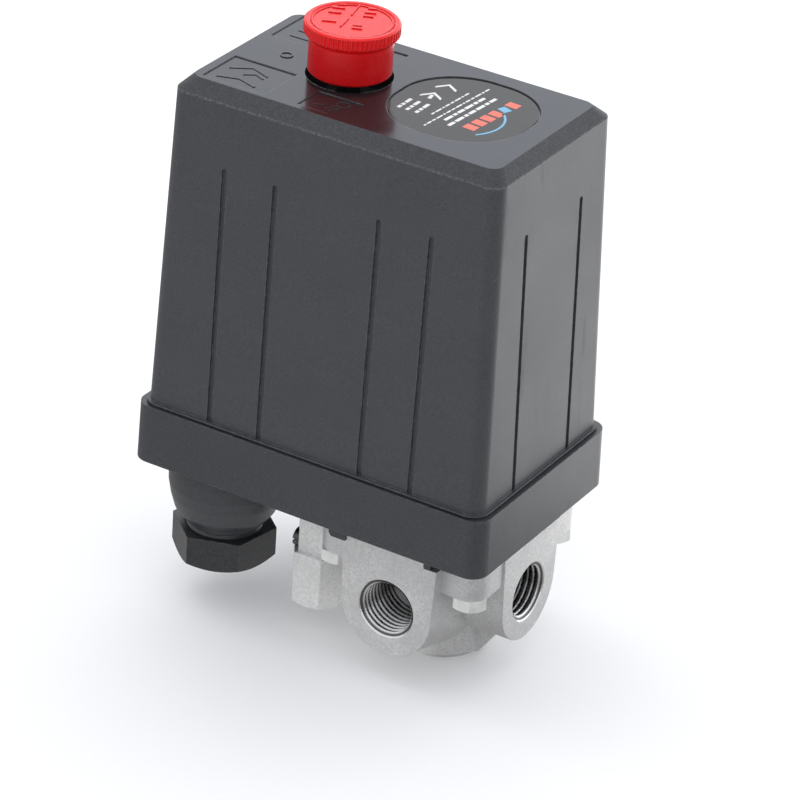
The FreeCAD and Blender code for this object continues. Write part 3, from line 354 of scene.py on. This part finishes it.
def cast_with_ports():
    """The manifold's casting, bright where the ports are machined, with painted shade in their threads' grooves
    and deep inside them.
    """
    look, base, rough = cast_metal("cast_metal", 0.76, 0.03)
    # The colour of the painted shade in the ports.
    painted_port_shade = grey(0.05)
    low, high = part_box("manifold")
    # Each port: the directions across it with its axis's places, the one along it, its mouth, the way in.
    ports = [((("X", 0.0), ("Z", port_level("front_port"))), "Y", low.y, 1.0),
             ((("X", 0.0), ("Z", port_level("back_port"))), "Y", high.y, -1.0),
             ((("Y", 0.0), ("Z", port_level("right_port"))), "X", high.x, -1.0),
             ((("X", 0.0), ("Y", 0.0)), "Z", low.z, 1.0)]
    machined, dark = 0.0, 0.0
    for across, along, mouth, inward in ports:
        distance = axis_distance(look, across)
        depth = look.maths("MULTIPLY", look.maths("SUBTRACT", look.axis(along), mouth), inward)
        within = look.span(depth, PORT_REACH + 0.10 * MM, PORT_REACH)
        near = look.maths("MULTIPLY", look.span(distance, PORT_MOUTH + 0.06 * MM, PORT_MOUTH), within)
        # Painted shade in each port: dark in the threads' grooves between the crests, and darker with depth from 1
        # mm to 9 mm.
        groove = look.maths("MULTIPLY", look.span(distance, GROOVE_START, GROOVE_FULL),
                            look.span(distance, GROOVE_END + 0.04 * MM, GROOVE_END))
        shade = look.maths("MAXIMUM", groove, look.span(depth, 1.0 * MM, 9.0 * MM))
        machined = look.maths("MAXIMUM", near, machined)
        dark = look.maths("MAXIMUM", look.maths("MULTIPLY", near, shade), dark)
    chatter = look.noise(0.7, 4.0)
    base = look.blend(machined, base, look.blend(chatter, grey(0.70), grey(0.86)))
    base = look.blend(look.maths("MULTIPLY", dark, 0.92), base, painted_port_shade)
    rough = look.mix(machined, rough, look.span(chatter, 0.3, 0.7, 0.16, 0.30))
    metallic = look.span(machined, 0.0, 1.0, CAST_METALLIC, 1.0)
    return look.finish(base_color=base, metallic=metallic, roughness=rough)


def plated(name, shade, roughness, metal=1.0):
    """Plated or bare metal: brushed lines, stains, and bright worn edges."""
    bright_edge = grey(0.92)
    look = Look(name)
    lines = look.noise(0.25, 4.0, (1, 1, 14))
    stains = look.noise(3.0, 5.0)
    base = look.blend(look.span(stains, 0.35, 0.7), scaled(shade, 0.80), rgb(*shade))
    base = look.blend(look.maths("MULTIPLY", look.edges(0.25), 0.5), base, bright_edge)
    rough = look.maths("ADD", look.span(stains, 0.3, 0.7, roughness - 0.05, roughness + 0.08),
                       look.span(lines, 0.4, 0.7, 0.0, 0.06))
    look.bump((stains, 0.015), (lines, 0.004), edge=0.2)
    return look.finish(base_color=base, metallic=metal, roughness=rough)


def zinc_steel():
    return plated("zinc_steel", (0.84, 0.84, 0.82), 0.34)


# Painted light: a lighter, less metallic copy of the zinc plating, so the bolts in the shade under the flange look
# lit.
def lightened_bolt_zinc():
    return plated("lightened_bolt_zinc", (0.97, 0.97, 0.95), 0.34, metal=0.62)


def blued_steel():
    return plated("blued_steel", (0.10, 0.10, 0.11), 0.35)


def sheet_steel():
    return plated("sheet_steel", (0.66, 0.66, 0.63), 0.36)


def spring_steel():
    return plated("spring_steel", (0.42, 0.42, 0.44), 0.28)


def brass_part():
    return plated("brass_part", (0.78, 0.58, 0.26), 0.26)


def rubber_black():
    """Dull rubber with a dry, powdery surface."""
    look = Look("rubber_black")
    powder = look.noise(0.6, 6.0)
    bloom = look.noise(4.0, 3.0)
    base = look.blend(look.span(bloom, 0.4, 0.75), grey(0.012), grey(0.035))
    look.bump((bloom, 0.03), (powder, 0.012), edge=0.2)
    return look.finish(base_color=base, roughness=look.span(powder, 0.3, 0.7, 0.68, 0.85), ior=1.45)


def dress(looks):
    """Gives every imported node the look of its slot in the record, or its own."""
    # The flange bolts take the copy of the zinc that is painted lighter.
    own = {"manifold": cast_with_ports(), "unloader_screw": blued_steel(), "flange_bolts": lightened_bolt_zinc()}
    for part in frame["record"]["subparts"]:
        node = frame["nodes"][part["node"]]
        node.data.materials.clear()
        node.data.materials.append(own.get(part["node"], looks[part["material_slot"]]))


def shorten_springs():
    """Works out how far what presses each of four springs inside travels, and gives each spring a mesh of its own;
    the springs are not shortened here.
    """
    joints = {joint["name"]: joint for joint in frame["joints"]}
    lever = joints["lever_hinge"]
    turn = math.radians(lever["range_deg"][1])
    travels = [("knob_spring", "knob_slide", abs(joints["knob_slide"]["range_m"][0])),
               ("unloader_spring", "lever_hinge", abs(joints["unloader_slide"]["range_m"][0]))]
    for node in ("range_spring", "differential_spring"):
        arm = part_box(node)[1].x - lever["pos_m"][0]
        travels.append((node, "lever_hinge", turn * arm))
    for node, joint, travel in travels:
        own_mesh(frame["nodes"][node])


# ---------------------------------------------------------------- raised and printed marks
# The layouts below are in millimetres round the middle of the knob, the housing or the label.
# An arc has a corner about every so many degrees, and never fewer steps than the number after it.
ARC_STEP_DEG = 7.5
FEWEST_ARC_STEPS = 6


def placed(corners, centre, turn):
    """Corners in millimetres, turned in degrees about the origin and then moved to a centre."""
    swing = Matrix.Rotation(math.radians(turn), 2)
    return [tuple(swing @ Vector(corner) + Vector(centre)) for corner in corners]


def bar(centre, length, width, turn=0.0):
    """A rectangle whose length runs along Y before the turn."""
    x, y = width / 2, length / 2
    return placed([(-x, -y), (x, -y), (x, y), (-x, y)], centre, turn)


def chevron(centre, span, rise, width, turn=0.0):
    """A bent stroke that peaks along Y before the turn."""
    x = span / 2
    return placed([(-x, 0), (0, rise), (x, 0), (x, -width), (0, rise - width), (-x, -width)], centre, turn)


def arc(centre, radius, width, start, end):
    """A band along an arc, in millimetres and degrees."""
    steps = max(FEWEST_ARC_STEPS, int((end - start) / ARC_STEP_DEG))
    angles = [math.radians(start + (end - start) * step / steps) for step in range(steps + 1)]
    outer = [(radius + width / 2, angle) for angle in angles]
    inner = [(radius - width / 2, angle) for angle in reversed(angles)]
    return [(centre[0] + reach * math.cos(angle), centre[1] + reach * math.sin(angle))
            for reach, angle in outer + inner]


def band(centre, radius, width):
    """A whole ring, as two half rings."""
    return [arc(centre, radius, width, 0, 180), arc(centre, radius, width, 180, 360)]


def strokes(start, end, width, lengths, gap):
    """Short bars along a line, like unreadable words; the lengths repeat in turn."""
    run = Vector(end) - Vector(start)
    turn = math.degrees(math.atan2(-run.x, run.y))
    bars = []
    reached = 0.0
    while reached + lengths[len(bars) % len(lengths)] <= run.length:
        length = lengths[len(bars) % len(lengths)]
        centre = Vector(start) + run.normalized() * (reached + length / 2)
        bars.append(bar(centre, length, width, turn))
        reached += length + gap
    return bars


def raised(name, outlines, origin, level, height, look, body):
    """One piece of separate low prisms: outlines in millimetres round an origin, from a level upward."""
    mesh = bpy.data.meshes.new(name)
    shape = bmesh.new()
    for outline in outlines:
        corners = [shape.verts.new((origin.x + x * MM, origin.y + y * MM, level)) for x, y in outline]
        face = shape.faces.new(corners)
        moved = bmesh.ops.extrude_face_region(shape, geom=[face])["geom"]
        lifted = [part for part in moved if isinstance(part, bmesh.types.BMVert)]
        bmesh.ops.translate(shape, verts=lifted, vec=(0, 0, height * MM))
    bmesh.ops.recalc_face_normals(shape, faces=shape.faces)
    shape.to_mesh(mesh)
    shape.free()
    piece = bpy.data.objects.new(name, mesh)
    bpy.context.scene.collection.objects.link(piece)
    mesh.materials.append(look)
    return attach(piece, body)


def knob_marks(looks):
    """Plain raised bars on the knob's top, in two halves beside a broken dividing line."""
    slant, bar_width, divider_width = -65.0, 0.75, 0.3
    bead_radius, bead_width = 8.35, 0.35
    rows = [((-6.3, 5.9), 1.8), ((-5.9, 4.1), 2.7), ((-5.3, 1.6), 2.7), ((-3.9, -2.9), 3.0),
            ((-0.2, 8.0), 1.7), ((0.6, 6.0), 2.4), ((1.2, 4.2), 2.1), ((1.9, -1.2), 1.9),
            ((2.6, -2.5), 2.2)]
    marks = [bar(centre, length, bar_width, slant) for centre, length in rows]
    marks += strokes((-3.3, 8.3), (-1.8, 2.2), divider_width, [6.0], 0)
    marks += strokes((-1.4, 0.6), (-0.5, -4.2), divider_width, [4.6], 0)
    dish = KNOB_TOP - 0.35 * MM
    bead = band((0, 0), bead_radius, bead_width)
    raised("knob_marks", marks, KNOB_AXIS, dish - SUNK, 0.25, looks["knob_red"], "knob")
    raised("knob_bead", bead, KNOB_AXIS, dish - SUNK, 0.2, looks["knob_red"], "knob")


def window_marks(looks):
    """Raised marks in the cover's sunken windows: position signs beside the knob, and plain emblems."""
    near_knob = [bar((-4.4, -15.9), 2.4, 0.6, -30), bar((-5.6, -15.3), 2.4, 0.6, -30),
                 *band((-4.2, -12.6), 1.3, 0.45), bar((-8.2, -15.6), 2.2, 0.5, -60)]
    behind_knob = band((-12.15, 13.8), 1.5, 0.6)
    emblem = [chevron((-28.0, -11.2), 8.8, 2.4, 0.7, 6), chevron((-27.6, -16.6), 9.2, 1.6, 0.7, 0),
              chevron((-26.0, -12.6), 4.6, 1.4, 0.6, 6)]
    bars = [bar((-28.0, 13.2 + step), 0.8, 7.0) for step in (-3.2, 0.0, 3.2)]
    in_windows = near_knob + behind_knob + emblem + bars
    raised("cover_marks", in_windows, HOUSING_CENTRE, WINDOW_FLOOR - SUNK, 0.14,
           looks["cover_black"], "housing")
    raised("cover_screw_mark", band((-26.3, 0.3), 1.25, 0.4), HOUSING_CENTRE, COVER_TOP - SUNK, 0.2,
           looks["cover_black"], "housing")


def label_print():
    """The label's print as plain shapes: coloured blocks, an arc, word-like dashes and two signs."""
    small_words, large_words = (1.5, 0.7, 2.1, 1.1), (2.2, 1.2, 2.8)
    white = [*strokes((2.5, 8.8), (1.4, -8.8), 0.8, large_words, 0.45),
             *strokes((0.5, 7.6), (-0.5, -6.8), 0.8, large_words, 0.4),
             *strokes((-1.0, 12.0), (-2.5, -11.6), 0.42, small_words, 0.4),
             *strokes((-3.3, 7.6), (-4.1, -6.6), 0.42, small_words, 0.4),
             chevron((-8.2, 6.8), 4.6, 2.2, 0.85, 10), chevron((-8.6, 1.4), 4.6, 2.2, 0.85, 10),
             bar((-8.6, 1.2), 1.9, 0.8, 10)]
    for row in (-7.0, -9.2, -11.2):
        white += strokes((row, -2.2), (row, -7.6), 0.8, (2.2, 1.0, 1.2), 0.4)
    orange = [bar((6.9 - 0.3 * step, 8.2 - 2.9 * step), 2.2, 2.9, -4) for step in (0, 2, 3, 4, 5)]
    blue = [bar((6.6, 5.3), 2.0, 2.4, -20), arc((1.5, -3.0), 8.7, 0.5, -42, 50)]
    prints = [("white", white, grey(0.80)), ("orange", orange, rgb(0.80, 0.12, 0.06)),
              ("blue", blue, rgb(0.14, 0.42, 0.66))]
    level, ink_height = LABEL_TOP - 0.005 * MM, 0.03
    for name, outlines, colour in prints:
        ink = print_ink(f"ink_{name}", colour)
        raised(f"label_print_{name}", outlines, LABEL_CENTRE, level, ink_height, ink, "housing")


# ---------------------------------------------------------------- studio
def surroundings(look):
    """The brightness of the paper to shiny surfaces, by distance and direction from the object.

    Bearings are in degrees from the object's right side, counted towards its back.
    """
    near_level, far_level = 0.62, 0.45
    back_right_level, right_front_level = 1.95, 0.22
    x, y = look.axis("X"), look.axis("Y")
    distance = axis_distance(look, (("X", 0.0), ("Y", 0.0)))
    bearing = look.maths("MULTIPLY", look.maths("ARCTAN2", y, x), 180 / math.pi)
    far = look.span(distance, 0.05, 0.11)
    back_right = look.maths("MULTIPLY", look.span(bearing, 30, 46), look.span(bearing, 130, 105))
    right_front = look.maths("MULTIPLY", look.span(bearing, -88, -60), look.span(bearing, 10, -8))
    level = look.mix(far, near_level, far_level)
    level = look.mix(back_right, level, look.mix(far, near_level, back_right_level))
    return look.mix(look.maths("MULTIPLY", right_front, 0.8), level, right_front_level)


def paper():
    """White paper that looks plain to the camera and shows bright and dark fields to shiny surfaces."""
    look = Look("studio_paper")
    fibre = look.noise(1.5, 4.0)
    look.bump((fibre, 0.01), edge=0.01)
    material = look.finish(base_color=look.blend(fibre, grey(0.95), grey(0.97)), roughness=0.9,
                           specular_ior_level=0.0)
    material.cycles.emission_sampling = "NONE"
    seen = look.node("ShaderNodeEmission", 0, {"Strength": surroundings(look)})
    in_mirror = look.node("ShaderNodeLightPath", "Is Glossy Ray", {})
    surface = look.node("ShaderNodeMixShader", 0, {0: in_mirror, 1: look.shader.outputs[0], 2: seen})
    look.feed(look.tree.nodes["Material Output"].inputs["Surface"], surface)
    return material


def floor():
    """A pale floor just under the inlet port."""
    reach, clearance = 3.0, 0.05 * MM
    corners = [(-reach, -reach, 0), (reach, -reach, 0), (reach, reach, 0), (-reach, reach, 0)]
    mesh = bpy.data.meshes.new("studio_floor")
    mesh.from_pydata(corners, [], [(0, 1, 2, 3)])
    plane = bpy.data.objects.new("studio_floor", mesh)
    bpy.context.scene.collection.objects.link(plane)
    plane.location.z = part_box("manifold")[0].z - clearance
    mesh.materials.append(paper())


def sky():
    """Soft light from everywhere above, a little brighter from behind the object."""
    world = bpy.data.worlds.new("studio_air")
    bpy.context.scene.world = world
    world.use_nodes = True
    nodes, links = world.node_tree.nodes, world.node_tree.links
    direction = nodes.new("ShaderNodeSeparateXYZ")
    links.new(nodes.new("ShaderNodeTexCoord").outputs["Generated"], direction.inputs[0])
    strength = nodes.new("ShaderNodeMapRange")
    usual, from_behind = 1.0, 1.75
    settings = {"From Min": 0.3, "From Max": 0.8, "To Min": usual, "To Max": from_behind}
    for name, value in settings.items():
        strength.inputs[name].default_value = value
    links.new(direction.outputs["Y"], strength.inputs["Value"])
    nodes["Background"].inputs["Color"].default_value = rgb(0.95, 0.965, 1.0)
    links.new(strength.outputs[0], nodes["Background"].inputs["Strength"])


def softbox(name, place, size, power):
    """A square light that faces the object."""
    data = bpy.data.lights.new(name, "AREA")
    data.size = size
    data.energy = power
    lamp = bpy.data.objects.new(name, data)
    bpy.context.scene.collection.objects.link(lamp)
    target = Vector((0, 0, COVER_TOP / 2))
    lamp.location = target + Vector(place)
    lamp.rotation_mode = "QUATERNION"
    lamp.rotation_quaternion = (target - lamp.location).to_track_quat("-Z", "Y")


def studio():
    """The floor, the sky and one large soft light overhead."""
    floor()
    sky()
    softbox("overhead", (-0.5, 0.1, 1.2), 0.9, 3.0)
    bpy.context.scene.view_settings.view_transform = "Standard"


def camera():
    """A long lens from the front right and above, tilted a little to the side."""
    azimuth, elevation, roll = math.radians(29.535), math.radians(28.656), math.radians(3.999)
    distance, sensor_mm, lens_mm = 0.8978, 36.0, 189.93
    target = Vector((HOUSING_CENTRE.x + 6.64 * MM, HOUSING_CENTRE.y, COVER_TOP - 70.7 * MM))
    back = Vector((math.sin(azimuth) * math.cos(elevation), -math.cos(azimuth) * math.cos(elevation),
                   math.sin(elevation)))
    level_right = Vector((math.cos(azimuth), math.sin(azimuth), 0))
    level_up = back.cross(level_right)
    right = math.cos(roll) * level_right + math.sin(roll) * level_up
    up = -math.sin(roll) * level_right + math.cos(roll) * level_up
    data = bpy.data.cameras.new("camera")
    data.sensor_width = sensor_mm
    data.lens = lens_mm
    seen_from = bpy.data.objects.new("camera", data)
    bpy.context.scene.collection.objects.link(seen_from)
    turn = Matrix((right, up, back)).transposed().to_4x4()
    seen_from.matrix_world = Matrix.Translation(target + back * distance) @ turn
    bpy.context.scene.camera = seen_from


# Each slot in the record has a function of the same name, apart from the casting's.
SLOTS = (housing_black, cover_black, nut_black, phenolic, stem_plastic, knob_red, label_face, zinc_steel,
         sheet_steel, spring_steel, brass_part, rubber_black)
LOOKS = {slot.__name__: slot() for slot in SLOTS}
LOOKS["cast_metal"] = cast_plain()
dress(LOOKS)
shorten_springs()
knob_marks(LOOKS)
window_marks(LOOKS)
label_print()
studio()
camera()
